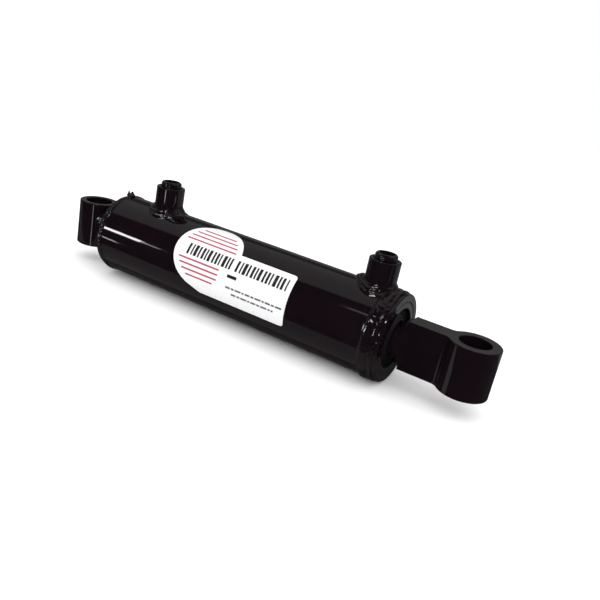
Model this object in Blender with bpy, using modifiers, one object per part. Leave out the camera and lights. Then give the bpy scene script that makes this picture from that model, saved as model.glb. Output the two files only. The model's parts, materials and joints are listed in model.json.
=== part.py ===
"""A welded double-acting hydraulic cylinder with a cross tube at its base and a pin eye on its rod.

Bore 63.5 mm (2.5 in), stroke 152.4 mm (6 in), 406.4 mm (16 in) between pins when closed. The pieces
are laid out in a working frame with its origin at the centre of the base cross tube's bore: +X runs
along the rod, +Z runs along both pins and out of the ports. An empty then lifts that frame so that
the world origin lies under the middle of the object's box, with its lowest point at Z = 0.
"""

import math

import bmesh
import bpy
from mathutils import Matrix, Vector

MM = 0.001
GAP = 0.3 * MM
MERGE_DISTANCE = 0.01 * MM
SMALLEST = 0.0001 * MM

# Main sizes
CLOSED_LENGTH = 406.4 * MM
STROKE = 152.4 * MM
BARREL_RADIUS = 38.1 * MM
BORE_RADIUS = 31.75 * MM
ROD_RADIUS = 15.875 * MM
PIN_BORE_RADIUS = 12.85 * MM
EDGE = 0.8 * MM

# Base end
CROSS_TUBE_RADIUS = 19.05 * MM
CROSS_TUBE_HALF_LENGTH = 22.4 * MM
NECK_START = 12.0 * MM
NECK_END = 31.0 * MM
NECK_RADIUS = 15.0 * MM
SHOULDER_START = 37.0 * MM
SHOULDER_RADIUS = NECK_RADIUS + 6.0 * MM
SADDLE_REACH = 40.0 * MM
CAP_FACE = 39.0 * MM
CAP_RIM_END = 40.2 * MM
CAP_INNER_FACE = 76.0 * MM
RIM_CHAMFER = 2.6 * MM
TUBE_BASE_ROOT = 44.2 * MM
WELD_STOP_STATION = 43.4 * MM
WELD_STOP_RADIUS = 2.4 * MM
WELD_STOP_RISE = 1.8 * MM

# Head end
TUBE_HEAD_ROOT = 332.4 * MM
COLLAR_ROOT = 334.6 * MM
HEAD_FACE = 345.0 * MM
GLAND_NOSE = 302.4 * MM
GLAND_NOSE_RADIUS = 27.0 * MM
GLAND_BORE_RADIUS = ROD_RADIUS + 0.5 * MM
CROWN_START = 327.6 * MM
CROWN_END = 341.8 * MM
CROWN_RADIUS = 39.8 * MM

# Grooves, as (start, end, floor radius)
BEARING_GROOVE = (305.0 * MM, 315.0 * MM, 18.6 * MM)
ROD_SEAL_GROOVE = (319.0 * MM, 327.0 * MM, 21.6 * MM)
WIPER_GROOVE = (337.5 * MM, 341.6 * MM, 20.4 * MM)
GLAND_RING_GROOVE = (327.2 * MM, 332.6 * MM, 28.6 * MM)
BASE_WEAR_GROOVE = (112.0 * MM, 120.0 * MM, 29.0 * MM)
PISTON_SEAL_GROOVE = (125.0 * MM, 133.0 * MM, 26.0 * MM)
HEAD_WEAR_GROOVE = (138.0 * MM, 146.0 * MM, 29.0 * MM)
PISTON_RING_GROOVE = (127.7 * MM, 130.3 * MM, 15.05 * MM)
GLAND_FACE_RECESS = 25.8 * MM

# Round-section rings, as (station, ring radius, cord radius)
GLAND_RING = (329.0 * MM, 30.18 * MM, 1.25 * MM)
PISTON_RING = (129.0 * MM, 13.9 * MM, 0.82 * MM)
PLUG_RING = (59.4 * MM, 9.0 * MM, 0.85 * MM)

# Rod assembly
SPIGOT_RADIUS = 12.7 * MM
SPIGOT_BORE_RADIUS = SPIGOT_RADIUS + GAP
ROD_TIP = CAP_INNER_FACE + GAP
NUT_START = 84.0 * MM
NUT_END = 108.0 * MM
NUT_ACROSS_CORNERS = 43.8 * MM
PISTON_START = NUT_END + GAP
PISTON_END = GLAND_NOSE - STROKE - GAP
PISTON_RADIUS = 31.2 * MM
ROD_SHOULDER = PISTON_END + GAP
ROD_END = 354.0 * MM

# Rod eye
EYE_RADIUS = 21.2 * MM
EYE_HALF_HEIGHT = 21.1 * MM
TANG_START = ROD_END + GAP
TANG_HALF_WIDTH = 9.6 * MM
TANG_FILLET = 6.5 * MM
ROD_EYE_BEAD_RADIUS = 3.8 * MM
ROD_EYE_BEAD_HALF_HEIGHT = 16.5 * MM
ROD_EYE_BEAD_HALF_WIDTH = 11.5 * MM

# Ports
PORT_STATIONS = {"base": 91.9 * MM, "head": 319.5 * MM}
BOSS_RADIUS = 13.4 * MM
BOSS_FOOT = 30.0 * MM
BOSS_TOP = 60.5 * MM
BOSS_EDGE = 0.5 * MM
THREAD_BORE_RADIUS = 8.9 * MM
THREAD_BORE_FLOOR = 46.0 * MM
COUNTERBORE_RADIUS = 10.25 * MM
COUNTERBORE_FLOOR = 58.2 * MM
OIL_HOLE_RADIUS = 5.5 * MM
PLUG_BOTTOM = 47.5 * MM
PLUG_TOP = 65.5 * MM
PLUG_HEAD_RADIUS = 9.5 * MM
PLUG_RIM_RADIUS = 8.2 * MM
PLUG_NECK_RADIUS = 7.8 * MM
PLUG_HOLLOW_RADIUS = 6.5 * MM
PLUG_HOLLOW_FLOOR = 50.0 * MM

# Label, laid out flat: along the barrel, and as arc length upwards from the barrel's side
LABEL_DISC_CENTRE = (167.2 * MM, 23.0 * MM)
LABEL_DISC_RADIUS = 34.8 * MM
LABEL_DISC_LAST = math.radians(254.34)
LABEL_FOOT = 169.2 * MM
LABEL_END = 260.0 * MM
LABEL_BOTTOM = -13.8 * MM
LABEL_TOP = 33.0 * MM
LABEL_CORNER = 3.0 * MM
LABEL_THICKNESS = 0.3 * MM

# Facets round a full turn
FINE = 36
MEDIUM = 32
COARSE = 24
CORD_FACETS = 6

# The working frame's place in the world
MIDDLE = (CLOSED_LENGTH + EYE_RADIUS - CROSS_TUBE_RADIUS) / 2
AXIS_HEIGHT = CROWN_RADIUS


# ---------------------------------------------------------------- scene and materials


def clear_scene():
    for obj in list(bpy.data.objects):
        bpy.data.objects.remove(obj, do_unlink=True)


def new_collection(name):
    collection = bpy.data.collections.new(name)
    bpy.context.scene.collection.children.link(collection)
    return collection


def new_material(name, colour, roughness, metallic):
    material = bpy.data.materials.new(name)
    material.use_nodes = True
    shader = material.node_tree.nodes["Principled BSDF"]
    shader.inputs["Base Color"].default_value = (*colour, 1.0)
    shader.inputs["Roughness"].default_value = roughness
    shader.inputs["Metallic"].default_value = metallic
    return material


def black_paint(name):
    return new_material(name + "_paint", (0.012, 0.012, 0.013), 0.22, 0.0)


def bare_steel(name):
    return new_material(name + "_steel", (0.45, 0.45, 0.46), 0.35, 1.0)


def chrome(name):
    return new_material(name + "_chrome", (0.75, 0.76, 0.78), 0.08, 1.0)


def grey_iron(name):
    return new_material(name + "_iron", (0.2, 0.2, 0.21), 0.5, 1.0)


def black_rubber(name):
    return new_material(name + "_rubber", (0.02, 0.02, 0.02), 0.6, 0.0)


def seal_plastic(name):
    return new_material(name + "_plastic", (0.30, 0.33, 0.28), 0.45, 0.0)


def white_vinyl(name):
    return new_material(name + "_vinyl", (0.85, 0.85, 0.86), 0.3, 0.0)


# ---------------------------------------------------------------- shape helpers


def add_object(name, data, finish):
    """Links a new piece under the working frame and gives it its own material."""
    obj = bpy.data.objects.new(name, data)
    parts.objects.link(obj)
    obj.parent = working_frame
    obj.data.materials.append(finish(name))
    return obj


def as_cutter(obj):
    for collection in list(obj.users_collection):
        collection.objects.unlink(obj)
    cutters.objects.link(obj)
    obj.parent = working_frame
    obj.hide_render = True
    obj.display_type = "WIRE"
    return obj


def clockwise(points):
    """The outline turned so that, with the radius to the right, its outer side runs downwards."""
    area = sum(a[0] * b[1] - b[0] * a[1] for a, b in zip(points, points[1:] + points[:1]))
    return points if area < 0 else points[::-1]


def turned_mesh(name, outline):
    """The outline of a turned piece. It holds (along the axis, radius) pairs, and closes on itself
    unless it starts and ends on the axis."""
    points = [(radius, along) for along, radius in outline]
    solid = points[0][0] == 0 and points[-1][0] == 0
    points = clockwise(points)
    mesh = bpy.data.meshes.new(name)
    edges = [(i, i + 1) for i in range(len(points) - 1)]
    if not solid:
        edges.append((len(points) - 1, 0))
    mesh.from_pydata([(radius, 0, along) for radius, along in points], edges, [])
    return mesh


def add_screw(obj, steps):
    screw = obj.modifiers.new("Screw", "SCREW")
    screw.steps = steps
    screw.render_steps = steps
    screw.use_merge_vertices = True
    screw.merge_threshold = MERGE_DISTANCE


def turned_about_x(name, outline, steps, finish):
    obj = add_object(name, turned_mesh(name, outline), finish)
    obj.rotation_euler.y = math.pi / 2
    add_screw(obj, steps)
    return obj


def turned_about_z(name, outline, steps, finish, along=0.0):
    obj = add_object(name, turned_mesh(name, outline), finish)
    obj.location.x = along
    add_screw(obj, steps)
    return obj


def boolean(obj, other, operation):
    modifier = obj.modifiers.new(operation.title(), "BOOLEAN")
    modifier.operation = operation
    modifier.solver = "EXACT"
    modifier.object = other


def cylinder_mesh(name, radius, length, steps):
    mesh = bpy.data.meshes.new(name)
    shape = bmesh.new()
    bmesh.ops.create_cone(
        shape, cap_ends=True, segments=steps, radius1=radius, radius2=radius, depth=length
    )
    shape.to_mesh(mesh)
    shape.free()
    return mesh


def cylinder_cutter(name, radius, start, end, steps, axis="Z", along=0.0):
    """A cylinder from start to end on the chosen axis. Along X its corners match a turned piece's."""
    obj = bpy.data.objects.new(name, cylinder_mesh(name, radius, end - start, steps))
    if axis == "X":
        obj.rotation_euler.y = math.pi / 2
        obj.location.x = (start + end) / 2
    else:
        obj.location = (along, 0, (start + end) / 2)
    obj.data.transform(Matrix.Rotation(math.pi / 2, 4, "Z"))
    return as_cutter(obj)


def box_cutter(name, low, high):
    mesh = bpy.data.meshes.new(name)
    shape = bmesh.new()
    bmesh.ops.create_cube(shape, size=1.0)
    shape.to_mesh(mesh)
    shape.free()
    size = [b - a for a, b in zip(low, high)]
    mesh.transform(Matrix.Diagonal((*size, 1)))
    obj = bpy.data.objects.new(name, mesh)
    obj.location = [(a + b) / 2 for a, b in zip(low, high)]
    return as_cutter(obj)


def cord_outline(ring):
    """The round section of a ring given as (station, ring radius, cord radius)."""
    along, centre, cord = ring
    angles = [math.tau * i / CORD_FACETS for i in range(CORD_FACETS)]
    return [(along + cord * math.sin(a), centre + cord * math.cos(a)) for a in angles]


def groove_outline(groove, lip):
    """The four corners of a square groove cut from a lip radius down, or up, to its floor."""
    start, end, floor = groove
    return [(start, lip), (start, floor), (end, floor), (end, lip)]


def band(start, end, inner, outer):
    """The outline of a plain square-section ring."""
    return [(start, inner), (end, inner), (end, outer), (start, outer)]


def split_ring(name, groove, inner, outer):
    """A plain ring sawn through once, so that it can be sprung into its groove."""
    start, end = groove[0] + GAP, groove[1] - GAP
    ring = turned_about_x(name, band(start, end, inner, outer), MEDIUM, seal_plastic)
    half_cut = 0.6 * MM
    saw = box_cutter(
        name + "_joint",
        (start - EDGE, -half_cut, 0),
        (end + EDGE, half_cut, BARREL_RADIUS),
    )
    boolean(ring, saw, "DIFFERENCE")


def arc(centre, radius, first, last, count):
    """Points on an arc in a plane, from one angle to the other, both ends included."""
    return [
        (
            centre[0] + radius * math.cos(first + (last - first) * i / count),
            centre[1] + radius * math.sin(first + (last - first) * i / count),
        )
        for i in range(count + 1)
    ]


# ---------------------------------------------------------------- base end


def base_cross_tube():
    half, outer, inner = CROSS_TUBE_HALF_LENGTH, CROSS_TUBE_RADIUS, PIN_BORE_RADIUS
    turned_about_z(
        "base_cross_tube",
        [
            (-half, inner + EDGE),
            (-half + EDGE, inner),
            (half - EDGE, inner),
            (half, inner + EDGE),
            (half, outer - EDGE),
            (half - EDGE, outer),
            (-half + EDGE, outer),
            (-half, outer - EDGE),
        ],
        FINE,
        black_paint,
    )


def cross_tube_saddle(name):
    """What the cross tube takes out of a piece that fits round it."""
    radius = CROSS_TUBE_RADIUS + GAP
    return cylinder_cutter(name, radius, -SADDLE_REACH, SADDLE_REACH, FINE)


def base_end_cap():
    spigot_radius = BORE_RADIUS - GAP
    rim_edge = 0.5 * MM
    cap = turned_about_x(
        "base_end_cap",
        [
            (NECK_START, 0),
            (NECK_START, NECK_RADIUS),
            (NECK_END, NECK_RADIUS),
            (SHOULDER_START, SHOULDER_RADIUS),
            (CAP_FACE, SHOULDER_RADIUS),
            (CAP_FACE, BARREL_RADIUS - rim_edge),
            (CAP_FACE + rim_edge, BARREL_RADIUS),
            (CAP_RIM_END, BARREL_RADIUS),
            (CAP_RIM_END + RIM_CHAMFER, spigot_radius),
            (CAP_INNER_FACE - EDGE, spigot_radius),
            (CAP_INNER_FACE, spigot_radius - EDGE),
            (CAP_INNER_FACE, 0),
        ],
        FINE,
        black_paint,
    )
    boolean(cap, cross_tube_saddle("cap_saddle"), "DIFFERENCE")


def base_tube_weld():
    """The fillet that joins the cross tube to the cap's neck."""
    inner = NECK_RADIUS + GAP
    weld = turned_about_x(
        "base_tube_weld",
        [
            (29.0 * MM, inner),
            (28.4 * MM, inner + 0.9 * MM),
            (23.0 * MM, inner + 2.3 * MM),
            (19.0 * MM, inner + 4.1 * MM),
            (13.0 * MM, inner + 4.5 * MM),
            (6.0 * MM, inner + 3.1 * MM),
            (6.0 * MM, inner),
        ],
        COARSE,
        black_paint,
    )
    boolean(weld, cross_tube_saddle("weld_saddle"), "DIFFERENCE")


def base_cap_weld():
    """The girth weld round the cap's rim, with the raised stop where the bead was finished."""
    start, end = CAP_RIM_END + 0.4 * MM, TUBE_BASE_ROOT + 1.7 * MM
    root = BORE_RADIUS + 0.6 * MM
    skin = BARREL_RADIUS + GAP
    weld = turned_about_x(
        "base_cap_weld",
        [
            (CAP_RIM_END + RIM_CHAMFER + 0.1 * MM, root),
            (TUBE_BASE_ROOT - 0.3 * MM, root),
            (end, BARREL_RADIUS),
            (end, skin),
            ((start + end) / 2, skin + 0.6 * MM),
            (start, skin),
            (start, BARREL_RADIUS),
        ],
        FINE,
        black_paint,
    )
    boolean(weld, weld_stop(), "UNION")


def weld_stop():
    mesh = bpy.data.meshes.new("weld_stop")
    shape = bmesh.new()
    bmesh.ops.create_uvsphere(shape, u_segments=12, v_segments=8, radius=WELD_STOP_RADIUS)
    shape.to_mesh(mesh)
    shape.free()
    obj = bpy.data.objects.new("weld_stop", mesh)
    obj.location = (WELD_STOP_STATION, 0, BARREL_RADIUS + WELD_STOP_RISE)
    return as_cutter(obj)


# ---------------------------------------------------------------- barrel and head end


def barrel_tube():
    slope = 2.1 * MM
    land = BORE_RADIUS + 0.45 * MM
    tube = turned_about_x(
        "barrel_tube",
        [
            (TUBE_BASE_ROOT, BORE_RADIUS),
            (TUBE_HEAD_ROOT, BORE_RADIUS),
            (TUBE_HEAD_ROOT, land),
            (TUBE_HEAD_ROOT - slope, BARREL_RADIUS),
            (TUBE_BASE_ROOT + slope, BARREL_RADIUS),
            (TUBE_BASE_ROOT, land),
        ],
        FINE,
        black_paint,
    )
    for place, station in PORT_STATIONS.items():
        hole = cylinder_cutter(
            place + "_tube_hole",
            OIL_HOLE_RADIUS,
            BORE_RADIUS / 2,
            BOSS_TOP,
            COARSE,
            along=station,
        )
        boolean(tube, hole, "DIFFERENCE")


def head_collar():
    slope = 2.0 * MM
    land = BORE_RADIUS + 0.45 * MM
    turned_about_x(
        "head_collar",
        [
            (COLLAR_ROOT, BORE_RADIUS),
            (HEAD_FACE, BORE_RADIUS),
            (HEAD_FACE, BARREL_RADIUS - EDGE),
            (HEAD_FACE - EDGE, BARREL_RADIUS),
            (COLLAR_ROOT + slope, BARREL_RADIUS),
            (COLLAR_ROOT, land),
        ],
        FINE,
        black_paint,
    )


def head_end_weld():
    """The wide girth weld between the tube and the head collar: a V-shaped root under a low crown."""
    root = BORE_RADIUS + 0.85 * MM
    skin = BARREL_RADIUS + GAP
    peak = CROWN_START + 5.8 * MM
    turned_about_x(
        "head_end_weld",
        [
            (CROWN_START, skin),
            (CROWN_START + 2.6 * MM, CROWN_RADIUS - 0.5 * MM),
            (peak, CROWN_RADIUS),
            (CROWN_END - 3.4 * MM, CROWN_RADIUS - 0.6 * MM),
            (CROWN_END, skin),
            (COLLAR_ROOT + 1.6 * MM, skin),
            (COLLAR_ROOT + 1.6 * MM, BARREL_RADIUS),
            (COLLAR_ROOT - 0.4 * MM, root),
            (TUBE_HEAD_ROOT + 0.4 * MM, root),
            (TUBE_HEAD_ROOT - 1.7 * MM, BARREL_RADIUS),
            (TUBE_HEAD_ROOT - 1.7 * MM, skin),
        ],
        FINE,
        black_paint,
    )


def gland():
    """The threaded head gland: its nose lets oil in from the head port, and three grooves face the rod."""
    outer = BORE_RADIUS - GAP
    bore = GLAND_BORE_RADIUS
    face = HEAD_FACE - 0.2 * MM
    nose_end = 324.9 * MM
    turned_about_x(
        "gland",
        [
            (GLAND_NOSE, bore),
            *groove_outline(BEARING_GROOVE, bore),
            *groove_outline(ROD_SEAL_GROOVE, bore),
            *groove_outline(WIPER_GROOVE, bore)[:3],
            (WIPER_GROOVE[1], GLAND_FACE_RECESS),
            (face, GLAND_FACE_RECESS + 0.4 * MM),
            (face, outer),
            *groove_outline(GLAND_RING_GROOVE, outer)[::-1],
            (nose_end + 0.7 * MM, outer),
            (nose_end, GLAND_NOSE_RADIUS),
            (GLAND_NOSE + EDGE, GLAND_NOSE_RADIUS),
            (GLAND_NOSE, GLAND_NOSE_RADIUS - EDGE),
        ],
        MEDIUM,
        grey_iron,
    )


def gland_seals():
    """The rings round the gland, and those between it and the rod."""
    touching_rod = ROD_RADIUS + GAP
    touching_tube = BORE_RADIUS - GAP
    turned_about_x("gland_o_ring", cord_outline(GLAND_RING), MEDIUM, black_rubber)
    start = GLAND_RING[0] + GLAND_RING[2] + 0.55 * MM
    end = GLAND_RING_GROOVE[1] - GAP
    backup = band(start, end, GLAND_RING_GROOVE[2] + GAP, touching_tube)
    turned_about_x("gland_backup_ring", backup, MEDIUM, seal_plastic)
    split_ring("rod_bearing", BEARING_GROOVE, touching_rod, BEARING_GROOVE[2] - GAP)

    start, end, floor = ROD_SEAL_GROOVE
    turned_about_x(
        "rod_seal",
        [
            (start + GAP, touching_rod),
            (end - GAP, touching_rod),
            (end - GAP, floor - GAP),
            (start + GAP, floor - GAP),
            (start + 3.4 * MM, (touching_rod + floor) / 2),
        ],
        MEDIUM,
        black_rubber,
    )
    start, end, floor = WIPER_GROOVE
    turned_about_x(
        "rod_wiper",
        [
            (start + GAP, touching_rod),
            (HEAD_FACE - 1.0 * MM, touching_rod),
            (HEAD_FACE - 0.8 * MM, ROD_RADIUS + 1.0 * MM),
            (end + GAP, ROD_RADIUS + 2.4 * MM),
            (end - GAP, floor - GAP),
            (start + GAP, floor - GAP),
        ],
        MEDIUM,
        black_rubber,
    )


# ---------------------------------------------------------------- rod assembly


def rod():
    shoulder_edge = 0.6 * MM
    turned_about_x(
        "rod",
        [
            (ROD_TIP, 0),
            (ROD_TIP, SPIGOT_RADIUS - EDGE),
            (ROD_TIP + EDGE, SPIGOT_RADIUS),
            (ROD_SHOULDER, SPIGOT_RADIUS),
            (ROD_SHOULDER, ROD_RADIUS - shoulder_edge),
            (ROD_SHOULDER + shoulder_edge, ROD_RADIUS),
            (ROD_END, ROD_RADIUS),
            (ROD_END, 0),
        ],
        MEDIUM,
        chrome,
    )


def piston():
    bore = SPIGOT_BORE_RADIUS
    turned_about_x(
        "piston",
        [
            (PISTON_START, bore),
            *groove_outline(PISTON_RING_GROOVE, bore),
            (PISTON_END, bore),
            (PISTON_END, PISTON_RADIUS),
            *groove_outline(HEAD_WEAR_GROOVE, PISTON_RADIUS)[::-1],
            *groove_outline(PISTON_SEAL_GROOVE, PISTON_RADIUS)[::-1],
            *groove_outline(BASE_WEAR_GROOVE, PISTON_RADIUS)[::-1],
            (PISTON_START, PISTON_RADIUS),
        ],
        MEDIUM,
        grey_iron,
    )
    turned_about_x("piston_o_ring", cord_outline(PISTON_RING), COARSE, black_rubber)


def piston_rings():
    outer = BORE_RADIUS - GAP
    lip = 0.85 * MM
    start, end, floor = PISTON_SEAL_GROOVE
    turned_about_x(
        "piston_seal",
        [
            (start + GAP, floor + GAP),
            (end - GAP, floor + GAP),
            (end - GAP, outer - lip),
            (end - 2.0 * MM, outer),
            (start + 2.0 * MM, outer),
            (start + GAP, outer - lip),
        ],
        MEDIUM,
        seal_plastic,
    )
    for place, groove in (("base", BASE_WEAR_GROOVE), ("head", HEAD_WEAR_GROOVE)):
        split_ring("piston_wear_ring_" + place, groove, groove[2] + GAP, outer)


def piston_lock_nut():
    length = NUT_END - NUT_START
    mesh = cylinder_mesh("piston_lock_nut", NUT_ACROSS_CORNERS / 2, length, 6)
    nut = add_object("piston_lock_nut", mesh, bare_steel)
    nut.rotation_euler.y = math.pi / 2
    nut.location.x = (NUT_START + NUT_END) / 2
    bore = cylinder_cutter(
        "nut_bore", SPIGOT_BORE_RADIUS, NUT_START - EDGE, NUT_END + EDGE, COARSE, axis="X"
    )
    boolean(nut, bore, "DIFFERENCE")


def eye_outline():
    """The tang's straight sides, run into the round eye through a hollow fillet on each side."""
    reach = TANG_HALF_WIDTH + TANG_FILLET
    back = math.sqrt((EYE_RADIUS + TANG_FILLET) ** 2 - reach**2)
    lean = math.atan2(reach, back)
    eye = (CLOSED_LENGTH, 0)
    fillet_x = CLOSED_LENGTH - back
    near = arc((fillet_x, -reach), TANG_FILLET, math.pi / 2, lean, 5)
    round_eye = arc(eye, EYE_RADIUS, -math.pi + lean, math.pi - lean, 32)
    far = [(x, -y) for x, y in reversed(near)]
    corners = [(TANG_START, TANG_HALF_WIDTH), (TANG_START, -TANG_HALF_WIDTH)]
    return near[:-1] + round_eye + far[1:] + corners


def add_loop(curve, points):
    spline = curve.splines.new("POLY")
    spline.points.add(len(points) - 1)
    for point, (x, y) in zip(spline.points, points):
        point.co = (x, y, 0, 1)
    spline.use_cyclic_u = True


def rod_eye():
    curve = bpy.data.curves.new("rod_eye", "CURVE")
    curve.dimensions = "2D"
    curve.fill_mode = "BOTH"
    curve.extrude = EYE_HALF_HEIGHT - EDGE
    curve.bevel_depth = EDGE
    curve.bevel_resolution = 0
    curve.offset = -EDGE
    add_loop(curve, eye_outline())
    add_loop(curve, arc((CLOSED_LENGTH, 0), PIN_BORE_RADIUS, 0, -math.tau, FINE)[:-1])
    add_object("rod_eye", curve, black_paint)


def rod_eye_weld():
    """One bead that runs round the rod where the wider, thinner tang crosses its end."""
    half_height = ROD_EYE_BEAD_HALF_HEIGHT
    bead = ROD_EYE_BEAD_RADIUS
    facets = 8
    angles = [math.tau * i / facets for i in range(facets)]
    outline = [(bead * math.sin(a), half_height + bead * math.cos(a)) for a in angles]
    weld = add_object("rod_eye_weld", turned_mesh("rod_eye_weld", outline), black_paint)
    weld.rotation_euler.y = math.pi / 2
    weld.location.x = TANG_START
    weld.scale.y = ROD_EYE_BEAD_HALF_WIDTH / half_height
    add_screw(weld, COARSE)
    rod_room = cylinder_cutter(
        "rod_room", ROD_RADIUS + GAP, HEAD_FACE, TANG_START, MEDIUM, axis="X"
    )
    tang_room = box_cutter(
        "tang_room",
        (TANG_START - GAP, -TANG_HALF_WIDTH - GAP, -2 * EYE_HALF_HEIGHT),
        (TANG_START + 3 * bead, TANG_HALF_WIDTH + GAP, 2 * EYE_HALF_HEIGHT),
    )
    boolean(weld, rod_room, "DIFFERENCE")
    boolean(weld, tang_room, "DIFFERENCE")


# ---------------------------------------------------------------- ports


def saddle_cutters(place):
    """What the barrel, and at the head end the girth weld's crown, take out of a port's pieces."""
    saddles = [
        cylinder_cutter(place + "_saddle", BARREL_RADIUS + GAP, 0, HEAD_FACE, FINE, axis="X")
    ]
    if place == "head":
        saddles.append(
            cylinder_cutter(
                "crown_saddle",
                CROWN_RADIUS + GAP,
                CROWN_START - GAP,
                CROWN_END + GAP,
                FINE,
                axis="X",
            )
        )
    return saddles


def port_boss(place, station, saddles):
    boss = turned_about_z(
        place + "_port_boss",
        [
            (BOSS_FOOT, OIL_HOLE_RADIUS),
            (THREAD_BORE_FLOOR, OIL_HOLE_RADIUS),
            (THREAD_BORE_FLOOR, THREAD_BORE_RADIUS),
            (COUNTERBORE_FLOOR, THREAD_BORE_RADIUS),
            (COUNTERBORE_FLOOR, COUNTERBORE_RADIUS),
            (BOSS_TOP, COUNTERBORE_RADIUS),
            (BOSS_TOP, BOSS_RADIUS - BOSS_EDGE),
            (BOSS_TOP - BOSS_EDGE, BOSS_RADIUS),
            (BOSS_FOOT, BOSS_RADIUS),
        ],
        COARSE,
        black_paint,
        station,
    )
    for saddle in saddles:
        boolean(boss, saddle, "DIFFERENCE")


def port_weld(place, station, saddles):
    inner = BOSS_RADIUS + GAP
    weld = turned_about_z(
        place + "_port_weld",
        [
            (BOSS_FOOT, inner),
            (45.2 * MM, inner),
            (44.6 * MM, inner + 0.8 * MM),
            (41.6 * MM, inner + 2.4 * MM),
            (39.6 * MM, inner + 5.4 * MM),
            (38.2 * MM, inner + 7.8 * MM),
            (BOSS_FOOT, inner + 9.0 * MM),
        ],
        COARSE,
        black_paint,
        station,
    )
    for saddle in saddles:
        boolean(weld, saddle, "DIFFERENCE")


def port_plug(place, station):
    """The hollow screw plug that closes the port in transit, and the ring it nips under its head."""
    thread = THREAD_BORE_RADIUS - GAP
    under_head = BOSS_TOP + 0.1 * MM
    turned_about_z(
        place + "_port_plug",
        [
            (PLUG_BOTTOM, 0),
            (PLUG_BOTTOM, thread - EDGE),
            (PLUG_BOTTOM + EDGE, thread),
            (COUNTERBORE_FLOOR, thread),
            (COUNTERBORE_FLOOR, PLUG_NECK_RADIUS),
            (under_head, PLUG_NECK_RADIUS),
            (under_head, PLUG_HEAD_RADIUS),
            (PLUG_TOP - 1.4 * MM, PLUG_HEAD_RADIUS),
            (PLUG_TOP, PLUG_RIM_RADIUS),
            (PLUG_TOP, PLUG_HOLLOW_RADIUS),
            (PLUG_HOLLOW_FLOOR, PLUG_HOLLOW_RADIUS),
            (PLUG_HOLLOW_FLOOR, 0),
        ],
        COARSE,
        black_paint,
        station,
    )
    ring = cord_outline(PLUG_RING)
    turned_about_z(place + "_plug_seal", ring, COARSE, black_rubber, station)


# ---------------------------------------------------------------- label


def label_outline():
    """A round-ended sticker: a disc that runs into a bar with two rounded corners."""
    centre, radius, corner = LABEL_DISC_CENTRE, LABEL_DISC_RADIUS, LABEL_CORNER
    first = math.asin((LABEL_TOP - centre[1]) / radius)
    disc = arc(centre, radius, first, LABEL_DISC_LAST, 26)
    lower = arc((LABEL_END - corner, LABEL_BOTTOM + corner), corner, -math.pi / 2, 0, 3)
    upper = arc((LABEL_END - corner, LABEL_TOP - corner), corner, 0, math.pi / 2, 3)
    return disc + [(LABEL_FOOT, LABEL_BOTTOM)] + lower + upper


def label():
    """The sticker, cut into narrow strips along the barrel and then rolled onto it."""
    curve = bpy.data.curves.new("label_flat", "CURVE")
    curve.dimensions = "2D"
    curve.fill_mode = "BOTH"
    curve.extrude = LABEL_THICKNESS / 2
    add_loop(curve, label_outline())
    flat = bpy.data.objects.new("label_flat", curve)
    parts.objects.link(flat)
    bpy.context.view_layer.update()
    graph = bpy.context.evaluated_depsgraph_get()
    mesh = bpy.data.meshes.new_from_object(flat.evaluated_get(graph))
    bpy.data.objects.remove(flat)

    shape = bmesh.new()
    shape.from_mesh(mesh)
    bmesh.ops.remove_doubles(shape, verts=shape.verts, dist=MERGE_DISTANCE)
    strip = math.tau / FINE * BARREL_RADIUS / 2
    highest = LABEL_DISC_CENTRE[1] + LABEL_DISC_RADIUS
    for line in range(math.ceil(LABEL_BOTTOM / strip), math.ceil(highest / strip)):
        everything = shape.verts[:] + shape.edges[:] + shape.faces[:]
        bmesh.ops.bisect_plane(
            shape,
            geom=everything,
            dist=SMALLEST,
            plane_co=(0, line * strip, 0),
            plane_no=(0, 1, 0),
        )
    lowest = BARREL_RADIUS + GAP + LABEL_THICKNESS / 2
    for vert in shape.verts:
        angle = vert.co.y / BARREL_RADIUS
        radius = lowest + vert.co.z
        vert.co = Vector((vert.co.x, -radius * math.cos(angle), radius * math.sin(angle)))
    bmesh.ops.recalc_face_normals(shape, faces=shape.faces)
    shape.to_mesh(mesh)
    shape.free()
    mesh.name = "label"
    add_object("label", mesh, white_vinyl)


# ---------------------------------------------------------------- assembly

clear_scene()
parts = new_collection("hydraulic_cylinder")
cutters = new_collection("cutters")
working_frame = bpy.data.objects.new("working_frame", None)
parts.objects.link(working_frame)
working_frame.location = (-MIDDLE, 0, AXIS_HEIGHT)

base_cross_tube()
base_end_cap()
base_tube_weld()
base_cap_weld()
barrel_tube()
head_collar()
head_end_weld()
gland()
gland_seals()
rod()
piston()
piston_rings()
piston_lock_nut()
rod_eye()
rod_eye_weld()
for place, station in PORT_STATIONS.items():
    saddles = saddle_cutters(place)
    port_boss(place, station, saddles)
    port_weld(place, station, saddles)
    port_plug(place, station)
label()
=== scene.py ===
"""The looks of a welded hydraulic cylinder: fine meshes, paint, sticker, light and camera.

Stations run along the rod from the axis of the base pin, heights run up from the rod's axis, and both are
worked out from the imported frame. Angles round the barrel start at the side with the sticker and grow
towards the ports. Each fine piece stands for the CAD node of the same name.
"""

import json
import math

import bmesh
import bpy
import numpy as np
from mathutils import Matrix, Vector

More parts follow.
